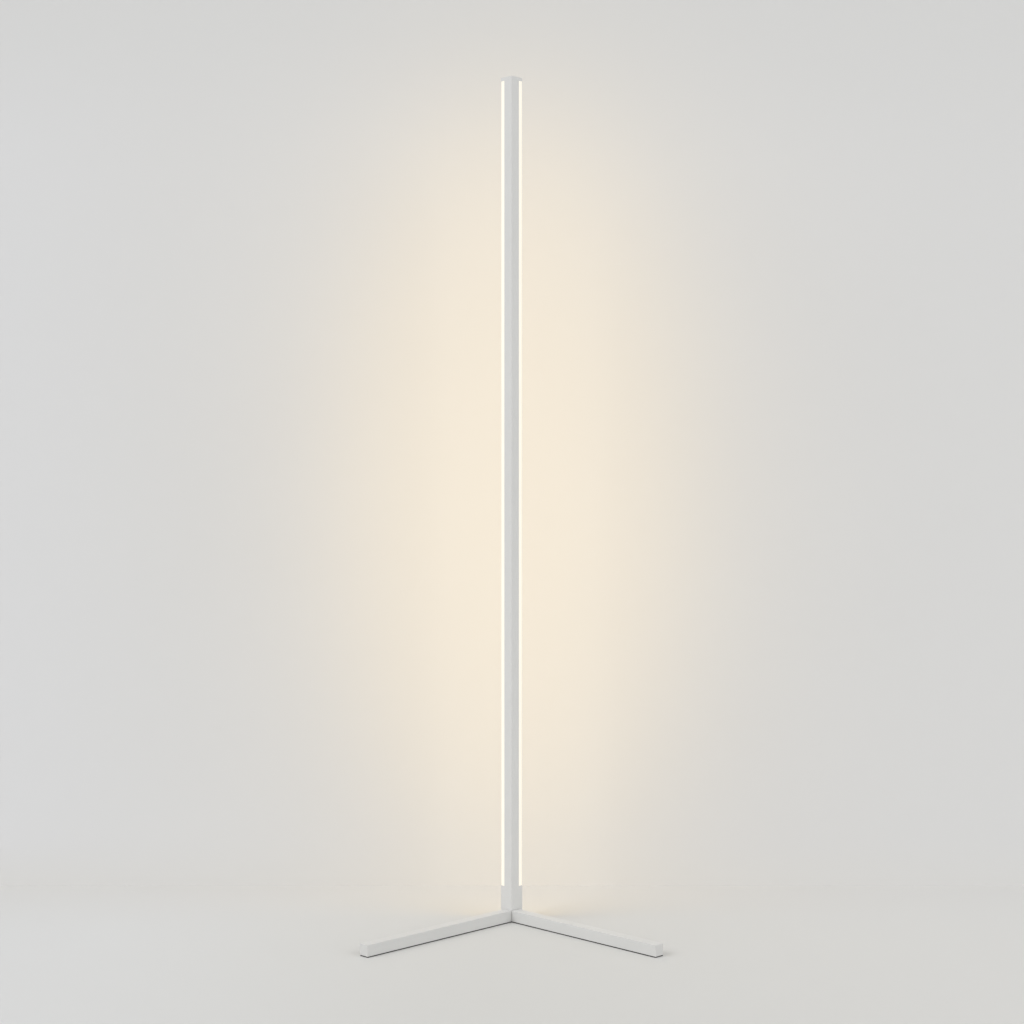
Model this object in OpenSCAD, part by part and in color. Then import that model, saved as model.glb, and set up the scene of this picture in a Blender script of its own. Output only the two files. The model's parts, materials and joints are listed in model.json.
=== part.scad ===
// Corner floor lamp: a square pole turned 45 degrees on two legs at a right angle.
// The pole's two painted faces look into the room. Light leaves through an opal
// shell on the other side and falls on the two walls of the corner behind it.
// Frame: +Z up, -Y towards the room, origin on the floor under the pole's axis.

/* [Overall] */
// Height of the whole lamp above the floor
lamp_h = 1400; // [1000:10:1800]
// Radius of the broken edges on the painted pieces
edge_r = 0.5; // [0.2:0.1:1]

/* [Pole profile] */
// Width of the square pole across one face
pole_w = 25.4; // [25:0.2:32]
// Width of each painted face, from the front edge to the lit strip
front_w = 17; // [16:0.5:19]
// Thickness of the painted walls
profile_wall = 1.6; // [1.2:0.1:2]
// Thickness of the web that carries the LED boards
web_t = 1.2; // [1:0.1:1.6]
// Depth of the lip, behind the web, that the diffuser snaps into
lip_l = 2.2; // [2.2:0.1:3]
// Height of the snap bead on the lip
bead_h = 0.3; // [0.2:0.05:0.4]
// Width of the snap bead along the lip
bead_w = 0.8; // [0.6:0.1:1]
// Wall around the screw port
port_wall = 1; // [0.7:0.1:1.2]
// Width of the screw port's open side
port_slot = 1.6; // [1.2:0.1:2]

/* [Diffuser] */
// Thickness of the opal shell
diffuser_t = 1.5; // [1.2:0.1:2]
// Outer radius of the shell's two side corners
side_r = 2.4; // [2:0.2:4]
// Outer radius of the shell's rear corner
back_r = 3; // [2:0.5:8]
// Thickness of the snap tongue
tongue_t = 1.1; // [0.8:0.1:1.4]

/* [Top cap] */
// Thickness of the cap above the profile
cap_t = 6; // [3:0.5:10]
// Depth of the cap's plug in the profile
cap_plug_l = 12; // [6:1:20]
// Wall of the cap's rear rib inside the diffuser
cap_rib_t = 1.6; // [1.2:0.1:2.4]
// Depth of the rear rib
cap_rib_l = 8; // [4:1:12]

/* [Base block] */
// Height of the unlit block
block_h = 38.5; // [38.5:0.5:60]
// Wall of the block
block_wall = 2; // [1.8:0.1:2.2]
// Thickness of the block's floor
floor_t = 9; // [8.5:0.5:9.5]
// Depth of the block's rear lip, behind the legs
lip_h = 6; // [4:0.5:12]

/* [Joiner] */
// Height of the joiner inside the block
joiner_h = 8; // [7:0.5:9]
// Height of the tongue that goes up into the profile
spigot_h = 18; // [12:1:30]
// Metal under the head of the port screw
port_seat_t = 3.5; // [2.5:0.5:4]
// Radius of the hole for the lead wires
lead_hole_r = 3.5; // [3:0.25:4]

/* [Legs] */
// Length of each leg, corner included
leg_l = 330; // [200:10:450]
// Width of a leg
leg_w = 18; // [17:0.5:20]
// Height of a leg
leg_h = 18; // [14:1:22]
// Thickness of the anti-slip strips
pad_t = 1.5; // [1:0.5:4]
// How far the strips stay inside the legs' edges
pad_inset = 0.5; // [0.25:0.25:1]

/* [Screws] */
// Radius of the two leg screws
leg_screw_r = 2; // [1.5:0.25:2.25]
// Distance between the two leg screws
leg_screw_gap = 10; // [9.6:0.2:11]
// Thread length of a leg screw in the block's floor
leg_thread_l = 7.5; // [6:0.5:8]
// Radius of the port screw
port_screw_r = 1.5; // [1.25:0.05:1.6]
// Thread length of the port screw in the profile
port_thread_l = 10; // [6:1:16]
// Radius of the two joiner screws
joiner_screw_r = 1.5; // [1.25:0.05:1.6]
// Length of a joiner screw
joiner_screw_l = 6.5; // [5:0.5:6.5]

/* [LED boards] */
// Width of an LED board
led_board_w = 10; // [8:0.5:12]
// Thickness of an LED board
led_board_t = 1; // [0.8:0.1:1.6]
// Thickness of the heat-conducting tape under the boards
tape_t = 0.2; // [0.1:0.05:0.4]
// Distance from one LED to the next
led_pitch = 16.6; // [12:0.2:25]
// Width of an LED package
led_w = 2.8; // [2:0.1:3.5]
// Length of an LED package along the pole
led_l = 3.5; // [2.5:0.1:5]
// Height of an LED package
led_t = 0.8; // [0.6:0.1:1.2]

/* [Control board] */
// Thickness of the control board
board_t = 1.6; // [1:0.1:1.6]
// Depth of the grooves that hold the board's edges
groove_d = 0.8; // [0.5:0.1:0.9]

/* [Power inlet] */
// Radius of the inlet hole in the block
inlet_r = 4; // [3.5:0.1:4.2]
// Length of the jack
jack_l = 14.2; // [12:0.2:15]
// Width of the jack
jack_w = 9; // [8.6:0.1:9.4]
// Height of the jack's axis above its board
jack_axis_h = 6.5; // [6:0.1:6.8]
// Radius of the jack's socket
socket_r = 3.15; // [3:0.05:3.4]
// Depth of the jack's socket
socket_d = 10.5; // [9:0.25:11]
// Radius of the jack's centre pin
pin_r = 1; // [0.8:0.05:1.25]

/* [Button] */
// Radius of the push button
button_r = 3.5; // [3:0.1:4]
// How far the button stands out of the block
button_out = 1.4; // [1.2:0.1:2.5]
// Travel of the button
button_travel = 1; // [0.5:0.1:1]
// Side of the square switch under the button
switch_w = 6; // [5.6:0.1:6.4]
// Height of the switch's body
switch_h = 3.5; // [3.5:0.1:4]
// Height of the switch with its plunger
plunger_h = 12; // [8:0.5:13]
// Radius of the switch's plunger
plunger_r = 1.75; // [1.25:0.05:1.8]

/* [Lead wires] */
// Radius of an insulated lead wire
lead_r = 0.7; // [0.5:0.05:0.8]
// Distance between the two leads on the boards
lead_gap = 3; // [2.4:0.1:3.4]

/* [Hidden] */
$fn = 48;

// clearances
joint_gap = 0.1;      // between the diffuser's edge and the painted wall, and behind the legs
lap_gap = 0.5;        // at the shoulders of the half-lap between the legs
snap_gap = 0.1;       // around the snap tongue
fit_gap = 0.15;       // around plugs, spigot and joiner
screw_gap = 0.25;     // around a screw in a clearance hole
thread_gap = 0.02;    // around a screw in its thread
run_gap = 0.08;       // around the button and the plunger
seat_gap = 0.2;       // between parts that are only held near each other
over = 1;             // overrun of a cut through a face

// heights
base_z = pad_t + leg_h;             // top of the legs
block_top = base_z + block_h;
cap_z = lamp_h - cap_t;             // top of the profile and the diffuser
profile_l = cap_z - block_top;
joiner_z = block_top - joiner_h;
cavity_z = base_z + floor_t;

// plan of the pole, in the corner frame
half = pole_w / 2;
tip = -half + front_w;              // end of a painted wall
web_y = (tip - half + profile_wall - lip_l) / sqrt(2);   // rear face of the web, in room Y
port_bore_r = port_screw_r + thread_gap;
port_r = port_bore_r + port_wall;
port_bury = 0.45;                   // how far the port's wall sinks into the web
port_y = web_y - web_t - port_r + port_bury;
skin_start = tip + joint_gap;
tongue_in = -half + profile_wall + bead_h + snap_gap;
tongue_end = tip - lip_l + 0.15;
bead_v = tip - bead_w / 2 - 0.1;    // middle of the snap bead
foot_end = skin_start + diffuser_t;

// block, board and what they hold
cavity_w = pole_w - 2 * block_wall;
wall_in = cavity_w / 2;
joiner_w = cavity_w - 2 * fit_gap;
board_v = -jack_axis_h;             // component side of the control board
board_w = cavity_w + 2 * (groove_d - seat_gap);
board_top = joiner_z - 0.5;
jack_z = cavity_z + 0.5 + jack_w / 2;
switch_z = jack_z + jack_w / 2 + 1.5 + switch_w / 2;
jack_u = wall_in - seat_gap;        // mouth of the jack
tag_l = 1.3;                        // solder tags behind the control board
tag_t = 0.4;
tag_w = 2.4;
pin_l = socket_d - 1.2;
pin_back = jack_l - socket_d + tag_t;
channel_floor = 1;                  // plastic under the contact
channel_end = 2.5;                  // from the mouth of the socket to the contact's channel
contact_u = 0.8;                    // contact's foot, from the bottom of the socket
button_flange_t = 0.8;
button_flange_r = button_r + 0.8;
collar_t = 0.5;
collar_r = plunger_r + 0.5;
switch_lip = 0.5;
plunger_foot = switch_h - switch_lip - collar_t - 0.05;
collar_floor = plunger_foot - button_travel - 0.3;

// LED boards
board_count = 3;
board_gap = 0.3;
led_margin = 5;                     // from the boards to the block and to the cap
led_z0 = block_top + led_margin;
led_z1 = cap_z - led_margin;
led_board_l = (led_z1 - led_z0 - (board_count - 1) * board_gap) / board_count;
led_face = web_y + tape_t + led_board_t;
led_first = 12;                     // from a board's end to its first LED
led_count = floor((led_board_l - 2 * led_first) / led_pitch) + 1;
led_rest = (led_board_l - (led_count - 1) * led_pitch) / 2;
led_cup_r = 0.4 * led_w;
led_cup_d = 0.4 * led_t;
leds_per_resistor = 6;
resistor_size = [1.6, 3.2, 0.55];
link_size = [1.6, 6, 0.4];

// screws: heads are twice as wide as their shanks
head_gap = 0.3;
leg_head_r = 2 * leg_screw_r;
leg_head_h = 1.1 * leg_screw_r;
leg_head_sink = 0.3;
port_head_r = 1.8 * port_screw_r;
port_head_h = 1.3 * port_screw_r;
joiner_head_r = 1.85 * joiner_screw_r;
joiner_head_h = 1.1 * joiner_screw_r;
leg_mid = -half + leg_w / 2;        // centre of the square where the legs cross
foot_line = [0.4, 0.3];             // depth and height of the shadow line over the legs

// routes of the lead wires
lead_u = 1;                         // middle of the two pads on the control board
lead_hole_x = 1.2;
lead_pad_x = 1.8;
lead_pad_l = 4;
lead_z = board_top - 2.5;
lead_steps = 8;
lead_sides = 8;

paint = [0.83, 0.83, 0.81];
opal = [1, 0.98, 0.9];
metal = [0.7, 0.7, 0.7];
cast = [0.6, 0.6, 0.6];
dark = [0.15, 0.15, 0.15];
board_green = [0.1, 0.35, 0.2];
board_white = [0.92, 0.92, 0.9];

// ---- shared shapes ----

// The corner frame: u points at the right wall, v at the left wall, both horizontal.
module in_corner() {
    rotate([0, 0, 45]) children();
}

// The same for a drawing that stays flat.
module straight_in_corner() {
    rotate(-45) children();
}

// Its children, and their mirror image across the line that halves the corner.
module both_sides() {
    children();
    mirror([1, -1]) children();
}

// What a rounded edge takes away at the lower left corner of a square.
module corner_cut(r) {
    difference() {
        translate([-r, -r]) square(2 * r);
        translate([r, r]) circle(r);
    }
}

// A centred square with its own radius at the front, right, rear and left corner.
module soft_square(w, radii) {
    difference() {
        square(w, center = true);
        for (i = [0 : 3])
            if (radii[i] > 0)
                rotate(90 * i) translate([-w / 2, -w / 2]) corner_cut(radii[i]);
    }
}

// Outline of the block.
module pole_outline() {
    soft_square(pole_w, [edge_r, edge_r, edge_r, edge_r]);
}

// A rectangle from the origin with all four edges broken.
module soft_rect(w, h, r) {
    difference() {
        square([w, h]);
        corner_cut(r);
        translate([w, 0]) rotate(90) corner_cut(r);
        translate([w, h]) rotate(180) corner_cut(r);
        translate([0, h]) rotate(270) corner_cut(r);
    }
}

// A box from the origin with all twelve edges broken.
module soft_box(size, r) {
    intersection() {
        linear_extrude(size[2]) soft_rect(size[0], size[1], r);
        rotate([90, 0, 90]) linear_extrude(size[0]) soft_rect(size[1], size[2], r);
        translate([0, size[1], 0]) rotate([90, 0, 0]) linear_extrude(size[1]) soft_rect(size[0], size[2], r);
    }
}

// A countersunk screw from its head's flat face upwards.
module countersunk(shank_r, head_r, head_h, length) {
    cylinder(r1 = head_r, r2 = shank_r, h = head_h);
    cylinder(r = shank_r, h = length);
}

// The two places of the leg screws, in the square where the legs cross.
module leg_screw_places() {
    offset = leg_screw_gap / (2 * sqrt(2));
    for (side = [-1, 1])
        translate([leg_mid + side * offset, leg_mid - side * offset, 0]) children();
}

// The two places of the joiner screws, from the rear faces inwards.
module joiner_screw_places() {
    for (turn = [0, 90])
        rotate([0, 0, turn]) translate([half, 0, block_top - joiner_h / 2]) rotate([0, -90, 0])
            children();
}

// ---- section of the pole ----

// Front chamber of the profile without its screw port, drawn smaller by gap.
module front_chamber(gap) {
    inner = -half + profile_wall + gap;
    difference() {
        translate([inner, inner]) square(front_w);
        straight_in_corner() {
            translate([-pole_w, web_y - web_t - gap]) square(2 * pole_w);
            translate([0, port_y]) circle(port_r + gap);
        }
    }
}

// Round beads inside the lips at the ends of both walls.
module snap_beads() {
    bead_u = -half + profile_wall + bead_h - bead_w / 2;
    translate([bead_u, bead_v]) circle(d = bead_w);
    translate([bead_v, bead_u]) circle(d = bead_w);
}

module profile_section() {
    difference() {
        union() {
            difference() {
                translate([-half, -half]) square(front_w);
                translate([-half + profile_wall, -half + profile_wall]) square(front_w);
            }
            intersection() {
                translate([-half, -half]) square(front_w);
                straight_in_corner() translate([-pole_w, web_y - web_t]) square([2 * pole_w, web_t]);
            }
            straight_in_corner() translate([0, port_y]) circle(port_r);
            snap_beads();
        }
        straight_in_corner() {
            translate([0, port_y]) circle(port_bore_r);
            translate([-port_slot / 2, port_y - port_r - over]) square([port_slot, port_r + over]);
        }
        translate([-half, -half]) corner_cut(edge_r);
    }
}

// Foot, tongue and barb on the diffuser's left edge. The barb rests behind the bead.
module snap_tongue() {
    beside = bead_w + snap_gap - bead_h;
    below = sqrt(pow(bead_w + snap_gap, 2) - pow(beside, 2));
    translate([-half, skin_start]) square([tongue_in + tongue_t + half, diffuser_t]);
    translate([tongue_in, tongue_end]) square([tongue_t, foot_end - tongue_end]);
    translate([tongue_in - bead_h + bead_w / 2, bead_v - below]) circle(d = bead_w);
}

// Inside of the opal shell, drawn smaller by gap.
module shell_inside(gap) {
    inset = diffuser_t + gap;
    soft_square(pole_w - 2 * inset,
                [0, max(side_r - inset, 0), max(back_r - inset, 0), max(side_r - inset, 0)]);
}

module diffuser_section() {
    difference() {
        soft_square(pole_w, [0, side_r, back_r, side_r]);
        shell_inside(0);
        translate([-half - over, -half - over]) square(front_w + joint_gap + over);
    }
    both_sides() snap_tongue();
}

// ---- pole ----

module pole_profile() {
    color(paint) in_corner() translate([0, 0, block_top]) linear_extrude(profile_l) profile_section();
}

module diffuser() {
    color(opal) in_corner() translate([0, 0, block_top]) linear_extrude(profile_l) diffuser_section();
}

module top_cap() {
    color(paint) in_corner() {
        difference() {
            translate([-half, -half, cap_z - cap_t]) soft_box([pole_w, pole_w, 2 * cap_t], edge_r);
            translate([-half - over, -half - over, cap_z - cap_t - over])
                cube([pole_w + 2 * over, pole_w + 2 * over, cap_t + over]);
        }
        translate([0, 0, cap_z - cap_plug_l]) linear_extrude(cap_plug_l) front_chamber(fit_gap);
        translate([0, 0, cap_z - cap_rib_l]) linear_extrude(cap_rib_l) difference() {
            shell_inside(fit_gap);
            shell_inside(fit_gap + cap_rib_t);
            translate([-half - over, -half - over]) square(foot_end + fit_gap + half + over);
        }
    }
}

// ---- joint between pole and block ----

module joiner() {
    pocket_u = [lead_u - lead_gap / 2 - 2.2, lead_u + lead_gap / 2 + 2.2];
    pocket_v = [board_v - 0.5, lead_hole_r];
    color(cast) difference() {
        in_corner() difference() {
            union() {
                translate([-joiner_w / 2, -joiner_w / 2, joiner_z]) cube([joiner_w, joiner_w, joiner_h]);
                translate([0, 0, block_top]) linear_extrude(spigot_h) front_chamber(fit_gap);
            }
            translate([pocket_u[0], pocket_v[0], joiner_z - over])
                cube([pocket_u[1] - pocket_u[0], pocket_v[1] - pocket_v[0], joiner_h - port_seat_t + over]);
            joiner_screw_places() cylinder(r = joiner_screw_r + thread_gap, h = joiner_screw_l + 0.5);
        }
        translate([0, 0, joiner_z - over]) cylinder(r = lead_hole_r, h = joiner_h + 2 * over);
        translate([0, port_y, joiner_z - over]) {
            cylinder(r = port_head_r + screw_gap, h = joiner_h - port_seat_t + over);
            cylinder(r = port_screw_r + screw_gap, h = joiner_h + 2 * over);
        }
    }
}

module port_screw() {
    seat_z = block_top - port_seat_t;
    color(metal) translate([0, port_y, 0]) difference() {
        union() {
            translate([0, 0, seat_z - port_head_h]) cylinder(r = port_head_r, h = port_head_h);
            translate([0, 0, seat_z - over / 2])
                cylinder(r = port_screw_r, h = port_seat_t + port_thread_l + over / 2);
        }
        translate([0, 0, seat_z - port_head_h - over])
            cylinder(r = port_screw_r * 0.8, h = port_head_h / 2 + over, $fn = 6);
    }
}

module joiner_screws() {
    color(metal) in_corner() joiner_screw_places() difference() {
        countersunk(joiner_screw_r, joiner_head_r, joiner_head_h, joiner_screw_l);
        translate([0, 0, -over]) cylinder(r = joiner_screw_r * 0.6, h = joiner_head_h * 0.8 + over, $fn = 6);
    }
}

// ---- base ----

module base_block() {
    groove_t = board_t + 2 * seat_gap;
    behind_legs = -half + leg_w + joint_gap;
    color(paint) in_corner() difference() {
        translate([0, 0, base_z - lip_h]) linear_extrude(block_h + lip_h) pole_outline();
        translate([-half - over, -half - over, base_z - lip_h - over])
            cube([behind_legs + half + over, behind_legs + half + over, lip_h + over]);
        for (plan = [[foot_line[0], leg_w], [leg_w, foot_line[0]]])
            translate([-half - over, -half - over, base_z - over])
                cube([plan[0] + over, plan[1] + over, foot_line[1] + over]);
        translate([-wall_in, -wall_in, cavity_z]) cube([cavity_w, cavity_w, block_h]);
        translate([-wall_in - groove_d, board_v - board_t - seat_gap, cavity_z])
            cube([cavity_w + 2 * groove_d, groove_t, block_h]);
        translate([0, 0, jack_z]) rotate([0, 90, 0]) cylinder(r = inlet_r, h = half + over);
        translate([0, 0, switch_z]) rotate([-90, 0, 0]) cylinder(r = button_r + run_gap, h = half + over);
        joiner_screw_places() translate([0, 0, -over]) {
            cylinder(r = joiner_screw_r + screw_gap, h = block_wall + 2 * over);
            cylinder(r1 = joiner_head_r + over, r2 = joiner_screw_r, h = joiner_head_h + over);
        }
        leg_screw_places() translate([0, 0, base_z - over])
            cylinder(r = leg_screw_r + thread_gap, h = leg_thread_l + 0.5 + over);
    }
}

// A leg along the left wall, whose crossing end keeps only the given share of its height.
module leg(lap_from, lap_to) {
    along = leg_l - leg_w;
    difference() {
        translate([-half - along, -half, pad_t]) soft_box([leg_l, leg_w, leg_h], edge_r);
        translate([-half - lap_gap, -half - over, lap_from])
            cube([leg_w + over, leg_w + 2 * over, lap_to - lap_from]);
    }
}

module left_leg() {
    color(paint) in_corner() difference() {
        leg(pad_t - over, pad_t + leg_h / 2);
        leg_screw_places() cylinder(r = leg_screw_r + screw_gap, h = base_z + over);
    }
}

module right_leg() {
    color(paint) in_corner() difference() {
        mirror([1, -1, 0]) leg(pad_t + leg_h / 2, base_z + over);
        leg_screw_places() {
            cylinder(r = leg_screw_r + screw_gap, h = base_z + over);
            translate([0, 0, pad_t - over])
                cylinder(r = leg_head_r + screw_gap, h = leg_head_sink + over);
            translate([0, 0, pad_t + leg_head_sink])
                cylinder(r1 = leg_head_r + screw_gap, r2 = leg_screw_r, h = leg_head_h);
        }
    }
}

module leg_screws() {
    length = leg_h - leg_head_sink + leg_thread_l;
    color(metal) in_corner() leg_screw_places() translate([0, 0, pad_t + leg_head_sink]) difference() {
        countersunk(leg_screw_r, leg_head_r, leg_head_h, length);
        translate([0, 0, -over]) cylinder(r = leg_screw_r * 0.6, h = leg_head_h * 0.8 + over, $fn = 6);
    }
}

// An anti-slip strip along the left leg, up to the given place.
module pad(end_u) {
    start_u = -half - leg_l + leg_w + pad_inset;
    translate([start_u, -half + pad_inset, 0]) cube([end_u - start_u, leg_w - 2 * pad_inset, pad_t]);
}

module left_pad() {
    color(dark) in_corner() pad(-half);
}

module right_pad() {
    color(dark) in_corner() difference() {
        mirror([1, -1, 0]) pad(-half + leg_w - pad_inset);
        leg_screw_places() translate([0, 0, -over]) cylinder(r = leg_head_r + head_gap, h = pad_t + 2 * over);
    }
}

// ---- light ----

// Height of the lower end of one LED board.
function led_board_z(i) = led_z0 + i * (led_board_l + board_gap);

module led_board(i) {
    color(board_white) translate([-led_board_w / 2, web_y + tape_t, led_board_z(i)])
        cube([led_board_w, led_board_t, led_board_l]);
}

// Children at each LED, or between LEDs with half a step of shift.
module at_leds(step = 1, shift = 0) {
    for (i = [0 : board_count - 1])
        for (k = [0 : step : led_count - 1 - ceil(shift)])
            translate([0, led_face, led_board_z(i) + led_rest + (k + shift) * led_pitch])
                rotate([-90, 0, 0]) children();
}

module thermal_tape() {
    color(metal) translate([-led_board_w / 2, web_y, led_z0]) cube([led_board_w, tape_t, led_z1 - led_z0]);
}

module led_packages() {
    color(board_white) at_leds() difference() {
        translate([-led_w / 2, -led_l / 2, 0]) cube([led_w, led_l, led_t]);
        translate([0, 0, led_t - led_cup_d]) cylinder(r = led_cup_r, h = led_cup_d + over);
    }
}

module led_phosphors() {
    color("gold") at_leds() translate([0, 0, led_t - led_cup_d]) cylinder(r = led_cup_r, h = led_cup_d);
}

module led_resistors() {
    color(dark) at_leds(leds_per_resistor, 0.5)
        translate([-resistor_size[0] / 2, -resistor_size[1] / 2, 0]) cube(resistor_size);
}

module board_links() {
    color(metal) for (i = [1 : board_count - 1])
        for (side = [-1, 1])
            translate([side * led_board_w / 4 - link_size[0] / 2, led_face,
                       led_board_z(i) - board_gap / 2 - link_size[1] / 2])
                cube([link_size[0], link_size[2], link_size[1]]);
}

// ---- control board ----

// Drawn with z away from the board, x along u and -y upwards.
module on_board(u, z) {
    in_corner() translate([u, board_v, z]) rotate([-90, 0, 0]) children();
}

module control_board() {
    color(board_green) difference() {
        in_corner() translate([-board_w / 2, board_v - board_t, cavity_z])
            cube([board_w, board_t, board_top - cavity_z]);
        in_jack() {
            tag_slot(-jack_l - tag_t);
            tag_slot(-socket_d + contact_u);
        }
    }
}

module controller_chip() {
    size = [4, 5, 1.6];
    color(dark) on_board(-wall_in + 1 + size[0] / 2, jack_z + 3)
        translate([-size[0] / 2, -size[1] / 2, 0]) cube(size);
}

module power_transistor() {
    size = [4.5, 5, 2.2];
    color(dark) on_board(-wall_in + 1 + size[0] / 2, switch_z)
        translate([-size[0] / 2, -size[1] / 2, 0]) cube(size);
}

module smoothing_capacitor() {
    can_r = 2.5;
    can_h = 7;
    color("dimgray") on_board(switch_w / 2 + 1 + can_r, switch_z) {
        cylinder(r = can_r, h = can_h);
        translate([-can_r, -can_r, 0]) cube([2 * can_r, 2 * can_r, 0.6]);
    }
}

// ---- power inlet ----

// The jack's own frame: x out of its mouth, y away from the control board, z up.
module in_jack() {
    in_corner() translate([jack_u, 0, jack_z]) children();
}

module tag_slot(x) {
    translate([x - seat_gap, -jack_axis_h - board_t - over, -tag_w / 2 - seat_gap])
        cube([tag_t + 2 * seat_gap, board_t + over + channel_floor, tag_w + 2 * seat_gap]);
}

// A solder tag that goes down through the control board.
module tag(x, top) {
    bottom = -jack_axis_h - board_t - tag_l;
    translate([x, bottom, -tag_w / 2]) cube([tag_t, top - bottom, tag_w]);
}

module dc_jack() {
    back_l = jack_l - socket_d;
    channel_w = tag_w + 2 * seat_gap;
    color(dark) in_jack() difference() {
        union() {
            translate([-jack_l, -jack_axis_h, -jack_w / 2]) cube([jack_l, jack_axis_h, jack_w]);
            translate([-jack_l, 0, -jack_w / 2]) cube([back_l, jack_w / 2, jack_w]);
            rotate([0, -90, 0]) cylinder(r = jack_w / 2, h = jack_l);
        }
        translate([-socket_d, 0, 0]) rotate([0, 90, 0]) cylinder(r = socket_r, h = socket_d + over);
        translate([-jack_l - over, 0, 0]) rotate([0, 90, 0]) cylinder(r = pin_r + thread_gap, h = jack_l);
        translate([-socket_d, -jack_axis_h + channel_floor, -channel_w / 2])
            cube([socket_d - channel_end, jack_axis_h - channel_floor, channel_w]);
        tag_slot(-socket_d + contact_u);
    }
}

module jack_pin() {
    color(metal) in_jack() {
        translate([-jack_l - tag_t, 0, 0]) rotate([0, 90, 0]) cylinder(r = pin_r, h = pin_back + pin_l);
        tag(-jack_l - tag_t, tag_w / 2);
    }
}

module jack_contact() {
    leaf_l = socket_d - channel_end - contact_u - 0.5;
    leaf_y = -socket_r;
    color(metal) in_jack() {
        tag(-socket_d + contact_u, leaf_y);
        translate([-socket_d + contact_u, leaf_y - tag_t, -tag_w / 2]) cube([leaf_l, tag_t, tag_w]);
    }
}

// ---- switch and button ----

module switch_body() {
    color(dark) on_board(0, switch_z) difference() {
        translate([-switch_w / 2, -switch_w / 2, 0]) cube([switch_w, switch_w, switch_h]);
        translate([0, 0, collar_floor])
            cylinder(r = collar_r + run_gap, h = switch_h - switch_lip - collar_floor);
        translate([0, 0, plunger_foot]) cylinder(r = plunger_r + run_gap, h = switch_h);
    }
}

module switch_plunger() {
    color(board_white) on_board(0, switch_z) {
        translate([0, 0, plunger_foot]) cylinder(r = collar_r, h = collar_t);
        translate([0, 0, plunger_foot]) cylinder(r = plunger_r, h = plunger_h - plunger_foot);
    }
}

// Turned outline: stem, flange behind the wall, cap with a small chamfer.
module power_button() {
    wall_h = wall_in - board_v;
    flange_top = wall_h - joint_gap;
    cap_top = half - board_v + button_out;
    chamfer = 0.4;
    color(paint) on_board(0, switch_z) rotate_extrude() polygon([
        [0, plunger_h], [plunger_r, plunger_h], [plunger_r, flange_top - button_flange_t],
        [button_flange_r, flange_top - button_flange_t], [button_flange_r, flange_top],
        [button_r, flange_top], [button_r, cap_top - chamfer], [button_r - chamfer, cap_top], [0, cap_top]]);
}

// ---- lead wires ----

function corner_to_room(u, v) = [(u - v) / sqrt(2), (u + v) / sqrt(2)];

// The path through the points. It leaves and reaches every point upright.
function smooth(points) =
    [for (i = [0 : len(points) - 2]) for (s = [0 : (i == len(points) - 2 ? lead_steps : lead_steps - 1)])
        let (a = points[i], b = points[i + 1], t = s / lead_steps, k = pow(t, 2) * (3 - 2 * t))
        [a[0] + (b[0] - a[0]) * k, a[1] + (b[1] - a[1]) * k, a[2] + (b[2] - a[2]) * t]];

function unit(v) = v / norm(v);

// A round wire of radius r along the points.
module wire(points, r) {
    path = smooth(points);
    last = len(path) - 1;
    rings = [for (i = [0 : last])
        let (t = unit(path[min(i + 1, last)] - path[max(i - 1, 0)]),
             a = unit(cross(t, [1, 0, 0])), b = cross(t, a))
        for (k = [0 : lead_sides - 1])
            path[i] + r * (cos(360 * k / lead_sides) * a + sin(360 * k / lead_sides) * b)];
    sides = [for (i = [0 : last - 1]) for (k = [0 : lead_sides - 1])
        let (j = i * lead_sides, n = (k + 1) % lead_sides)
        [j + k, j + n, j + lead_sides + n, j + lead_sides + k]];
    ends = [[for (k = [lead_sides - 1 : -1 : 0]) k],
            [for (k = [0 : lead_sides - 1]) last * lead_sides + k]];
    polyhedron(rings, concat(sides, ends));
}

// From a pad on the control board, through the joiner, to the lowest LED board.
module lead(side) {
    pad_xy = corner_to_room(lead_u + side * lead_gap / 2, board_v + lead_r);
    hole_xy = [side * lead_hole_x, -1];
    led_xy = [side * lead_pad_x, led_face + lead_r];
    wire([concat(pad_xy, lead_z), concat(pad_xy, lead_z + 2),
          concat(hole_xy, block_top - port_seat_t), concat(hole_xy, block_top + 1),
          concat(led_xy, led_z0 + 2), concat(led_xy, led_z0 + 2 + lead_pad_l)], lead_r);
}

module positive_lead() {
    color("red") lead(-1);
}

module negative_lead() {
    color(dark) lead(1);
}

pole_profile();
diffuser();
top_cap();
joiner();
port_screw();
base_block();
joiner_screws();
left_leg();
right_leg();
leg_screws();
left_pad();
right_pad();
led_board(0);  // led_board_lower
led_board(1);  // led_board_middle
led_board(2);  // led_board_upper
thermal_tape();
led_packages();
led_phosphors();
led_resistors();
board_links();
control_board();
controller_chip();
power_transistor();
smoothing_capacitor();
dc_jack();
jack_pin();
jack_contact();
switch_body();
switch_plunger();
power_button();
positive_lead();
negative_lead();
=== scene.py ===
import json
import math

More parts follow.
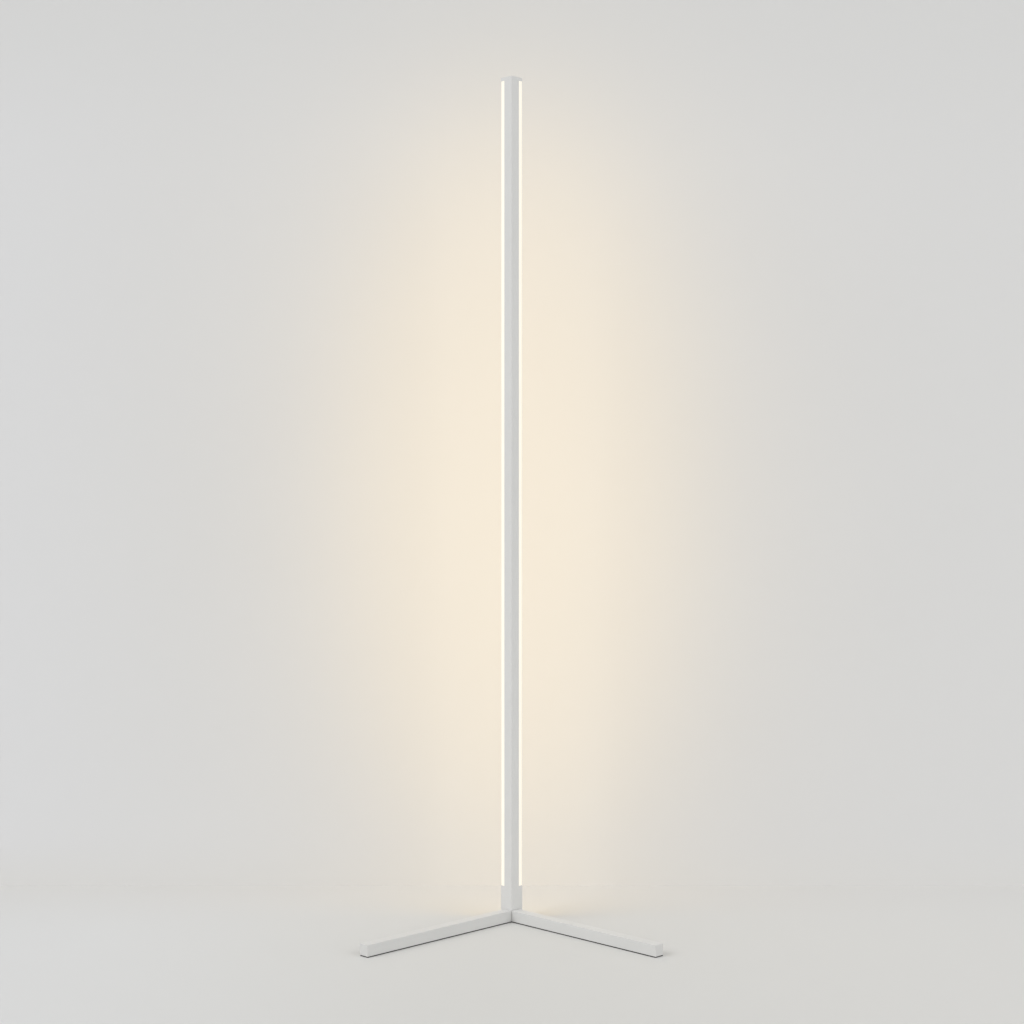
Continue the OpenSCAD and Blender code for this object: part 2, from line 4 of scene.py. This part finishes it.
import bpy
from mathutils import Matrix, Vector


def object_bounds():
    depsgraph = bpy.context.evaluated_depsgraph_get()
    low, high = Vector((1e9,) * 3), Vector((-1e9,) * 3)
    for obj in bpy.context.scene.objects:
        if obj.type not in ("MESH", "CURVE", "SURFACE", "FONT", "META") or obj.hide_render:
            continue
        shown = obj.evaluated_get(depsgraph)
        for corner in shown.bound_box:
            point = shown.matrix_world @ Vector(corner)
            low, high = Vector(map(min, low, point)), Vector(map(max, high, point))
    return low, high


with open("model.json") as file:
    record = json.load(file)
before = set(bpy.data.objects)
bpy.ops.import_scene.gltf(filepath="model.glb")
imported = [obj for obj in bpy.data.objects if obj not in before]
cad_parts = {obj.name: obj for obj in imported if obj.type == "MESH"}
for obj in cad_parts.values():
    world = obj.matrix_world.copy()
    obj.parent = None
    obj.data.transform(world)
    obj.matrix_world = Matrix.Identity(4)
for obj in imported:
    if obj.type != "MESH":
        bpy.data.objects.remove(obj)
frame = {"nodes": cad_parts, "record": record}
cad_low, cad_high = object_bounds()
scene = bpy.context.scene

LAMP_REAR = cad_high[1]           # how far the rear corner lies behind the pole's axis
LAMP_HEIGHT = cad_high[2]

# ---- camera: the photograph's, found from the lamp's own corners; metres and degrees ----

CAMERA_BACK = 2.903               # from the pole's axis, towards the room
CAMERA_SIDE = 0.00065
CAMERA_HEIGHT = 0.7156
CAMERA_DOWN = 0.698
LENS_MM = 61.36
SENSOR_MM = 36.0
FACING_WALL = 90.0                # turns a camera or a lamp from facing down to facing the wall


def make_camera():
    data = bpy.data.cameras.new("camera")
    data.lens = LENS_MM
    data.sensor_width = SENSOR_MM
    camera = bpy.data.objects.new("camera", data)
    camera.location = (CAMERA_SIDE, -CAMERA_BACK, CAMERA_HEIGHT)
    camera.rotation_euler = (math.radians(FACING_WALL - CAMERA_DOWN), 0.0, 0.0)
    scene.collection.objects.link(camera)
    scene.camera = camera


# ---- node helpers ----

NOISE_SPAN = (0.3, 0.7)           # most of a noise texture's values lie between these
BEVEL_SAMPLES = 6
FLAT_MATCH = 0.995                # how well the rounded and the real normal match on a flat surface
EDGE_MATCH = 0.93                 # and on an edge


class Shader:
    """A new material with a Principled surface, and short calls that add nodes to it."""

    def __init__(self, name, metallic=0.0):
        self.material = bpy.data.materials.new(name)
        self.material.use_nodes = True
        self.tree = self.material.node_tree
        self.surface = self.tree.nodes["Principled BSDF"]
        self.output = self.tree.nodes["Material Output"]
        self.surface.inputs["Metallic"].default_value = metallic
        self.place = self.node("ShaderNodeTexCoord").outputs["Object"]

    def node(self, kind, **settings):
        made = self.tree.nodes.new(kind)
        for key, value in settings.items():
            setattr(made, key, value)
        return made

    def link(self, source, target):
        self.tree.links.new(source, target)

    def stretched(self, scale):
        """Object coordinates times a scale for each axis."""
        mapping = self.node("ShaderNodeMapping")
        mapping.inputs["Scale"].default_value = scale
        self.link(self.place, mapping.inputs["Vector"])
        return mapping.outputs["Vector"]

    def noise(self, scale=1.0, detail=3.0, vector=None):
        """Noise with about as many spots in a metre as its scale says."""
        made = self.node("ShaderNodeTexNoise")
        made.inputs["Scale"].default_value = scale
        made.inputs["Detail"].default_value = detail
        self.link(vector or self.place, made.inputs["Vector"])
        return made.outputs["Fac"]

    def spread(self, value, span, low=0.0, high=1.0):
        """A value within a span, brought to the range from low to high."""
        made = self.node("ShaderNodeMapRange")
        start, end = span
        for key, number in (("From Min", start), ("From Max", end), ("To Min", low), ("To Max", high)):
            made.inputs[key].default_value = number
        self.link(value, made.inputs["Value"])
        return made.outputs["Result"]

    def tint(self, noise, dark, light, span=NOISE_SPAN):
        """A colour that goes from dark to light with a noise."""
        made = self.node("ShaderNodeValToRGB")
        for element, position, colour in zip(made.color_ramp.elements, span, (dark, light)):
            element.position = position
            element.color = (*colour, 1.0)
        self.link(noise, made.inputs["Fac"])
        return made.outputs["Color"]

    def along(self, axis, start, end):
        """0 before start and 1 after end, along one axis, with soft ends."""
        split = self.node("ShaderNodeSeparateXYZ")
        self.link(self.place, split.inputs["Vector"])
        made = self.node("ShaderNodeMapRange", interpolation_type="SMOOTHSTEP")
        made.inputs["From Min"].default_value = start
        made.inputs["From Max"].default_value = end
        self.link(split.outputs[axis], made.inputs["Value"])
        return made.outputs["Result"]

    def mix(self, factor, a, b):
        """Two colours, or colour outputs, mixed by a factor."""
        made = self.node("ShaderNodeMix", data_type="RGBA")
        self.link(factor, made.inputs[0])
        for socket, value in ((made.inputs[6], a), (made.inputs[7], b)):
            if isinstance(value, tuple):
                socket.default_value = (*value, 1.0)
            else:
                self.link(value, socket)
        return made.outputs[2]

    def edges(self, radius):
        """1 along edges and corners, 0 on flat surfaces."""
        bevel = self.node("ShaderNodeBevel", samples=BEVEL_SAMPLES)
        bevel.inputs["Radius"].default_value = radius
        match = self.node("ShaderNodeVectorMath", operation="DOT_PRODUCT")
        self.link(bevel.outputs["Normal"], match.inputs[0])
        self.link(self.node("ShaderNodeNewGeometry").outputs["Normal"], match.inputs[1])
        return self.spread(match.outputs["Value"], (FLAT_MATCH, EDGE_MATCH))

    def colour(self, output):
        self.link(output, self.surface.inputs["Base Color"])

    def roughness(self, noise, low, high):
        """A roughness that goes from low to high with a noise."""
        self.link(self.spread(noise, NOISE_SPAN, low, high), self.surface.inputs["Roughness"])

    def bump(self, height, distance, strength):
        made = self.node("ShaderNodeBump")
        made.inputs["Distance"].default_value = distance
        made.inputs["Strength"].default_value = strength
        self.link(height, made.inputs["Height"])
        self.link(made.outputs["Normal"], self.surface.inputs["Normal"])


def shade(colour, factor):
    return tuple(c * factor for c in colour)


# ---- materials of the lamp ----

PAINT = (0.684, 0.684, 0.672)
LEG_PAINT_SHADED = shade(PAINT, 0.955)   # darker than the pole's: painted shade on the legs near the floor
FLECK_SPAN = (0.35, 0.6)
OPAL_DARK = (0.46, 0.45, 0.42)
OPAL_PALE = (0.50, 0.49, 0.46)
OPAL_LIGHT = (0.585, 0.55, 0.455)
OPAL_DIMMEST = shade(OPAL_LIGHT, 0.84)
OPAL_FADE = (0.45 * LAMP_REAR, 0.96 * LAMP_REAR)    # Y where the light starts to fade and is dimmest
EXTRUSION_LINES = (900.0, 900.0, 2.0)       # noise scale on each axis: fine across the pole, long along it
RUBBER_DARK = (0.020, 0.020, 0.020)
RUBBER_PALE = (0.036, 0.036, 0.034)
RUBBER_RUBBED = (0.05, 0.05, 0.048)
METAL_GRAIN = (3000.0, 3000.0, 300.0)       # noise scale on each axis
PATINA_SPAN = (0.35, 0.65)
METAL_UNEVEN = 0.14               # how much rougher than its smoothest spots a metal is at most
PLASTIC_UNEVEN = 0.12             # and a plastic
SHARP_DEGREES = 30.0              # faces that meet at less than this are shaded as one round


def powder_coat(name, tone):
    """Matt powder coat: orange peel, slow changes of tone and gloss, and painted shade along the edges."""
    m = Shader(name)
    cloud = m.tint(m.noise(scale=9.0, detail=2.0), dark=shade(tone, 0.978), light=shade(tone, 1.018))
    fleck = m.tint(m.noise(scale=700.0), dark=shade(tone, 0.965), light=tone, span=FLECK_SPAN)
    fleck_share = m.spread(m.noise(scale=120.0), NOISE_SPAN, low=0.1, high=0.5)
    coat = m.mix(fleck_share, cloud, fleck)
    # painted shade: the coat is darkened along its rounded edges
    m.colour(m.mix(m.edges(radius=0.0008), coat, shade(tone, 0.95)))
    m.roughness(m.noise(scale=60.0), low=0.44, high=0.56)
    m.bump(m.noise(scale=1500.0, detail=2.0), distance=0.00005, strength=0.5)
    return m.material


def opal():
    """Opal plastic, lit from inside: fine extrusion lines, and light that fades towards the rear corner."""
    m = Shader("opal_plastic")
    streak = m.noise(vector=m.stretched(EXTRUSION_LINES))
    m.colour(m.tint(streak, dark=OPAL_DARK, light=OPAL_PALE))
    m.roughness(m.noise(scale=80.0), low=0.30, high=0.42)
    dim, bright = shade(OPAL_LIGHT, 0.983), shade(OPAL_LIGHT, 1.017)
    lit = m.tint(m.noise(scale=40.0, detail=1.0), dark=dim, light=bright)
    fading = m.mix(m.along("Y", *OPAL_FADE), lit, OPAL_DIMMEST)
    m.link(fading, m.surface.inputs["Emission Color"])
    m.surface.inputs["Emission Strength"].default_value = 1.0
    m.bump(streak, distance=0.00002, strength=0.4)
    return m.material


def rubber():
    """Cellular rubber: open grain, and edges rubbed grey."""
    m = Shader("strip_rubber")
    grain = m.noise(scale=900.0)
    body = m.tint(grain, dark=RUBBER_DARK, light=RUBBER_PALE)
    m.colour(m.mix(m.edges(radius=0.0006), body, RUBBER_RUBBED))
    m.roughness(m.noise(scale=200.0), low=0.78, high=0.92)
    m.bump(grain, distance=0.0001, strength=0.6)
    return m.material


def metal(name, colour, smooth):
    """Bare or plated metal with a fine grain, brighter where its edges are rubbed."""
    m = Shader(name, metallic=1.0)
    grain = m.noise(vector=m.stretched(METAL_GRAIN))
    patina = m.tint(m.noise(scale=350.0), dark=shade(colour, 0.9), light=colour, span=PATINA_SPAN)
    m.colour(m.mix(m.edges(radius=0.0003), patina, shade(colour, 1.15)))
    m.roughness(grain, low=smooth, high=smooth + METAL_UNEVEN)
    m.bump(grain, distance=0.00002, strength=0.4)
    return m.material


def plastic(name, colour, smooth):
    """Plastic, lacquer or insulation: fine grain, slightly uneven colour, edges rubbed a little lighter."""
    m = Shader(name)
    grain = m.noise(scale=2400.0, detail=2.0)
    body = m.tint(m.noise(scale=120.0), dark=shade(colour, 0.94), light=colour)
    m.colour(m.mix(m.edges(radius=0.0004), body, shade(colour, 1.08)))
    m.roughness(grain, low=smooth, high=smooth + PLASTIC_UNEVEN)
    m.bump(grain, distance=0.00003, strength=0.5)
    return m.material


# A maker for each material slot. After the colour comes the roughness of the smoothest spots.
MATERIALS = {
    "painted_aluminium": lambda: powder_coat("paint_on_aluminium", PAINT),
    # the legs' coat, darkened as painted shade
    "painted_steel": lambda: powder_coat("paint_on_steel_shaded", LEG_PAINT_SHADED),
    "opal": opal,
    "pad_rubber": rubber,
    "cast_aluminium": lambda: metal("cast_aluminium", (0.55, 0.55, 0.56), 0.49),
    "screw_steel": lambda: metal("zinc_plated_steel", (0.62, 0.62, 0.64), 0.26),
    "led_board": lambda: plastic("white_solder_mask", (0.82, 0.82, 0.8), 0.35),
    "tape": lambda: plastic("thermal_tape", (0.7, 0.7, 0.66), 0.65),
    "led_package": lambda: plastic("led_package", (0.85, 0.85, 0.82), 0.25),
    "led_phosphor": lambda: plastic("led_phosphor", (0.85, 0.66, 0.12), 0.25),
    "black_component": lambda: plastic("black_moulding", (0.03, 0.03, 0.03), 0.45),
    "contact_metal": lambda: metal("tinned_brass", (0.72, 0.68, 0.55), 0.24),
    "board_green": lambda: plastic("green_solder_mask", (0.02, 0.16, 0.07), 0.30),
    "capacitor_can": lambda: metal("capacitor_can", (0.5, 0.5, 0.53), 0.29),
    "white_plastic": lambda: plastic("white_plastic", (0.75, 0.75, 0.73), 0.50),
    "button_plastic": lambda: plastic("button_plastic", PAINT, 0.50),
    "lead_red": lambda: plastic("red_insulation", (0.5, 0.02, 0.02), 0.40),
    "lead_black": lambda: plastic("black_insulation", (0.02, 0.02, 0.02), 0.40),
}


def dress_nodes():
    """Gives every CAD node the material of its slot, and smooth shading across its rounds."""
    made = {slot: build() for slot, build in MATERIALS.items()}
    for part in frame["record"]["subparts"]:
        node = frame["nodes"][part["node"]]
        node.data.materials.clear()
        node.data.materials.append(made[part["material_slot"]])
        node.data.shade_smooth()
        node.data.set_sharp_from_angle(angle=math.radians(SHARP_DEGREES))


# ---- floor and wall; distances in metres ----

PLASTER_ROUGHNESS = 0.9
WALL_Y = 0.25
WALL_HALF = 4.0
WALL_TOP = 3.6
WALL_TONE = (0.699, 0.699, 0.697)
# painted light: the wall is lighter and bluer towards the left
WALL_LEFT_LIGHT = (0.708, 0.710, 0.716)
WALL_SIDE_LIGHT = (0.55, 0.95)          # distances from the middle where the painted side light starts and is full
# painted shade: greyer towards the top of the wall
WALL_UPPER_SHADE = (0.677, 0.678, 0.674)
WALL_UPPER_SHADE_SPAN = (1.28, 1.65)    # heights where the painted shade, a greyer tone, starts and is full
# painted shade in the crease: a slightly darker, warmer tone along the foot of the wall
WALL_CREASE_SHADE = (0.700, 0.697, 0.687)
WALL_CREASE_SHADE_HEIGHT = 0.10
FLOOR_HALF = 60.0
FLOOR_TONE = (0.634, 0.632, 0.614)
# painted light: the floor is lighter towards each side
FLOOR_LEFT_LIGHT = (0.666, 0.671, 0.671)
FLOOR_RIGHT_LIGHT = (0.652, 0.650, 0.637)
FLOOR_SIDE_LIGHT = (0.0, 0.75)          # the same two distances on the floor
# painted shade in the crease, darker than the floor's lit sides
FLOOR_CREASE_SHADE = (0.646, 0.643, 0.633)
FLOOR_CREASE_SHADE_DEPTH = 0.38        # how far from the wall this painted shade has faded out


def plane(name, corners, material):
    """A flat piece of the stage."""
    mesh = bpy.data.meshes.new(name)
    mesh.from_pydata(corners, [], [(0, 1, 2, 3)])
    mesh.materials.append(material)
    made = bpy.data.objects.new(name, mesh)
    scene.collection.objects.link(made)


def plaster(name, tone, left, right, side):
    """Plain matt paint with a slow change of tone, and painted light: another tone towards each side."""
    m = Shader(name)
    m.surface.inputs["Roughness"].default_value = PLASTER_ROUGHNESS
    cloud = m.tint(m.noise(scale=1.5, detail=2.0), dark=shade(tone, 0.992), light=shade(tone, 1.008))
    start, end = side
    # painted light: another tone towards each side
    with_left_light = m.mix(m.along("X", -start, -end), cloud, left)
    with_side_light = m.mix(m.along("X", start, end), with_left_light, right)
    m.bump(m.noise(scale=300.0), distance=0.0001, strength=0.2)
    return m, with_side_light


def make_floor():
    """The floor, with painted light towards each side and painted shade along the foot of the wall."""
    m, tone = plaster("floor_paint", FLOOR_TONE, FLOOR_LEFT_LIGHT, FLOOR_RIGHT_LIGHT, FLOOR_SIDE_LIGHT)
    # painted shade in the crease, fading out away from the wall
    away = m.along("Y", WALL_Y, WALL_Y - FLOOR_CREASE_SHADE_DEPTH)
    m.colour(m.mix(away, FLOOR_CREASE_SHADE, tone))
    half = FLOOR_HALF
    corners = [(-half, -half, 0), (half, -half, 0), (half, half, 0), (-half, half, 0)]
    plane("floor", corners, m.material)


def clear_from_behind(m):
    """Lets the camera and the light through the rear face."""
    mix = m.node("ShaderNodeMixShader")
    m.link(m.node("ShaderNodeNewGeometry").outputs["Backfacing"], mix.inputs["Fac"])
    m.link(m.surface.outputs["BSDF"], mix.inputs[1])
    m.link(m.node("ShaderNodeBsdfTransparent").outputs["BSDF"], mix.inputs[2])
    m.link(mix.outputs["Shader"], m.output.inputs["Surface"])


def make_wall():
    """A wall close behind the lamp, clear from behind for the views from there, with painted light towards
    the left and painted shade towards the top and along its foot.
    """
    m, tone = plaster("wall_paint", WALL_TONE, WALL_LEFT_LIGHT, WALL_TONE, WALL_SIDE_LIGHT)
    # painted shade: greyer towards the top of the wall
    tone = m.mix(m.along("Z", *WALL_UPPER_SHADE_SPAN), tone, WALL_UPPER_SHADE)
    # painted shade in the crease along the foot of the wall
    m.colour(m.mix(m.along("Z", 0.0, WALL_CREASE_SHADE_HEIGHT), WALL_CREASE_SHADE, tone))
    clear_from_behind(m)
    half, y, top = WALL_HALF, WALL_Y, WALL_TOP
    plane("wall", [(-half, y, 0), (half, y, 0), (half, y, top), (-half, y, top)], m.material)


# ---- light ----

WHITE = (1.0, 1.0, 1.0, 1.0)
SKY_STRENGTH = 0.672
LEFT_DIRECTION = (-1.0, -0.6, 0.9)
LEFT_STRENGTH = 1.15
RIGHT_DIRECTION = (1.0, -0.8, 0.7)
RIGHT_STRENGTH = 0.72
SUN_DEGREES = 40.0                # how wide each far lamp looks from the object
GLOW_COLOUR = (1.0, 0.634, 0.113)
GLOW_WATTS = 0.99
GLOW_GAP = 0.00425                # between the object's rear corner and the glow
GLOW_WIDTH = 0.60
GLOW_TALLER = 0.05                # how much taller than the object the glow is
GLOW_HIGHER = 0.02                # how much higher its middle is than the object's


def make_sky():
    """An even white sky."""
    world = bpy.data.worlds.new("studio")
    scene.world = world
    world.use_nodes = True
    background = world.node_tree.nodes["Background"]
    background.inputs["Color"].default_value = WHITE
    background.inputs["Strength"].default_value = SKY_STRENGTH


def make_sun(name, direction, strength):
    """A wide, far lamp. The direction points from the object to it."""
    data = bpy.data.lights.new(name, "SUN")
    data.energy = strength
    data.angle = math.radians(SUN_DEGREES)
    light = bpy.data.objects.new(name, data)
    light.rotation_euler = Vector(direction).to_track_quat("Z", "Y").to_euler()
    scene.collection.objects.link(light)


def make_glow():
    """The warm light of the diffuser on the wall: an oval lamp behind the pole, which faces the wall."""
    data = bpy.data.lights.new("glow", "AREA")
    data.shape = "ELLIPSE"
    data.size = GLOW_WIDTH
    data.size_y = LAMP_HEIGHT + GLOW_TALLER
    data.energy = GLOW_WATTS
    data.color = GLOW_COLOUR
    light = bpy.data.objects.new("glow", data)
    light.location = (0.0, LAMP_REAR + GLOW_GAP, LAMP_HEIGHT / 2 + GLOW_HIGHER)
    light.rotation_euler = (math.radians(FACING_WALL), 0.0, 0.0)
    light.visible_camera = False
    scene.collection.objects.link(light)


make_camera()
dress_nodes()
make_floor()
make_wall()
make_sky()
make_sun("left_lamp", LEFT_DIRECTION, LEFT_STRENGTH)
make_sun("right_lamp", RIGHT_DIRECTION, RIGHT_STRENGTH)
make_glow()
scene.view_settings.view_transform = "Standard"
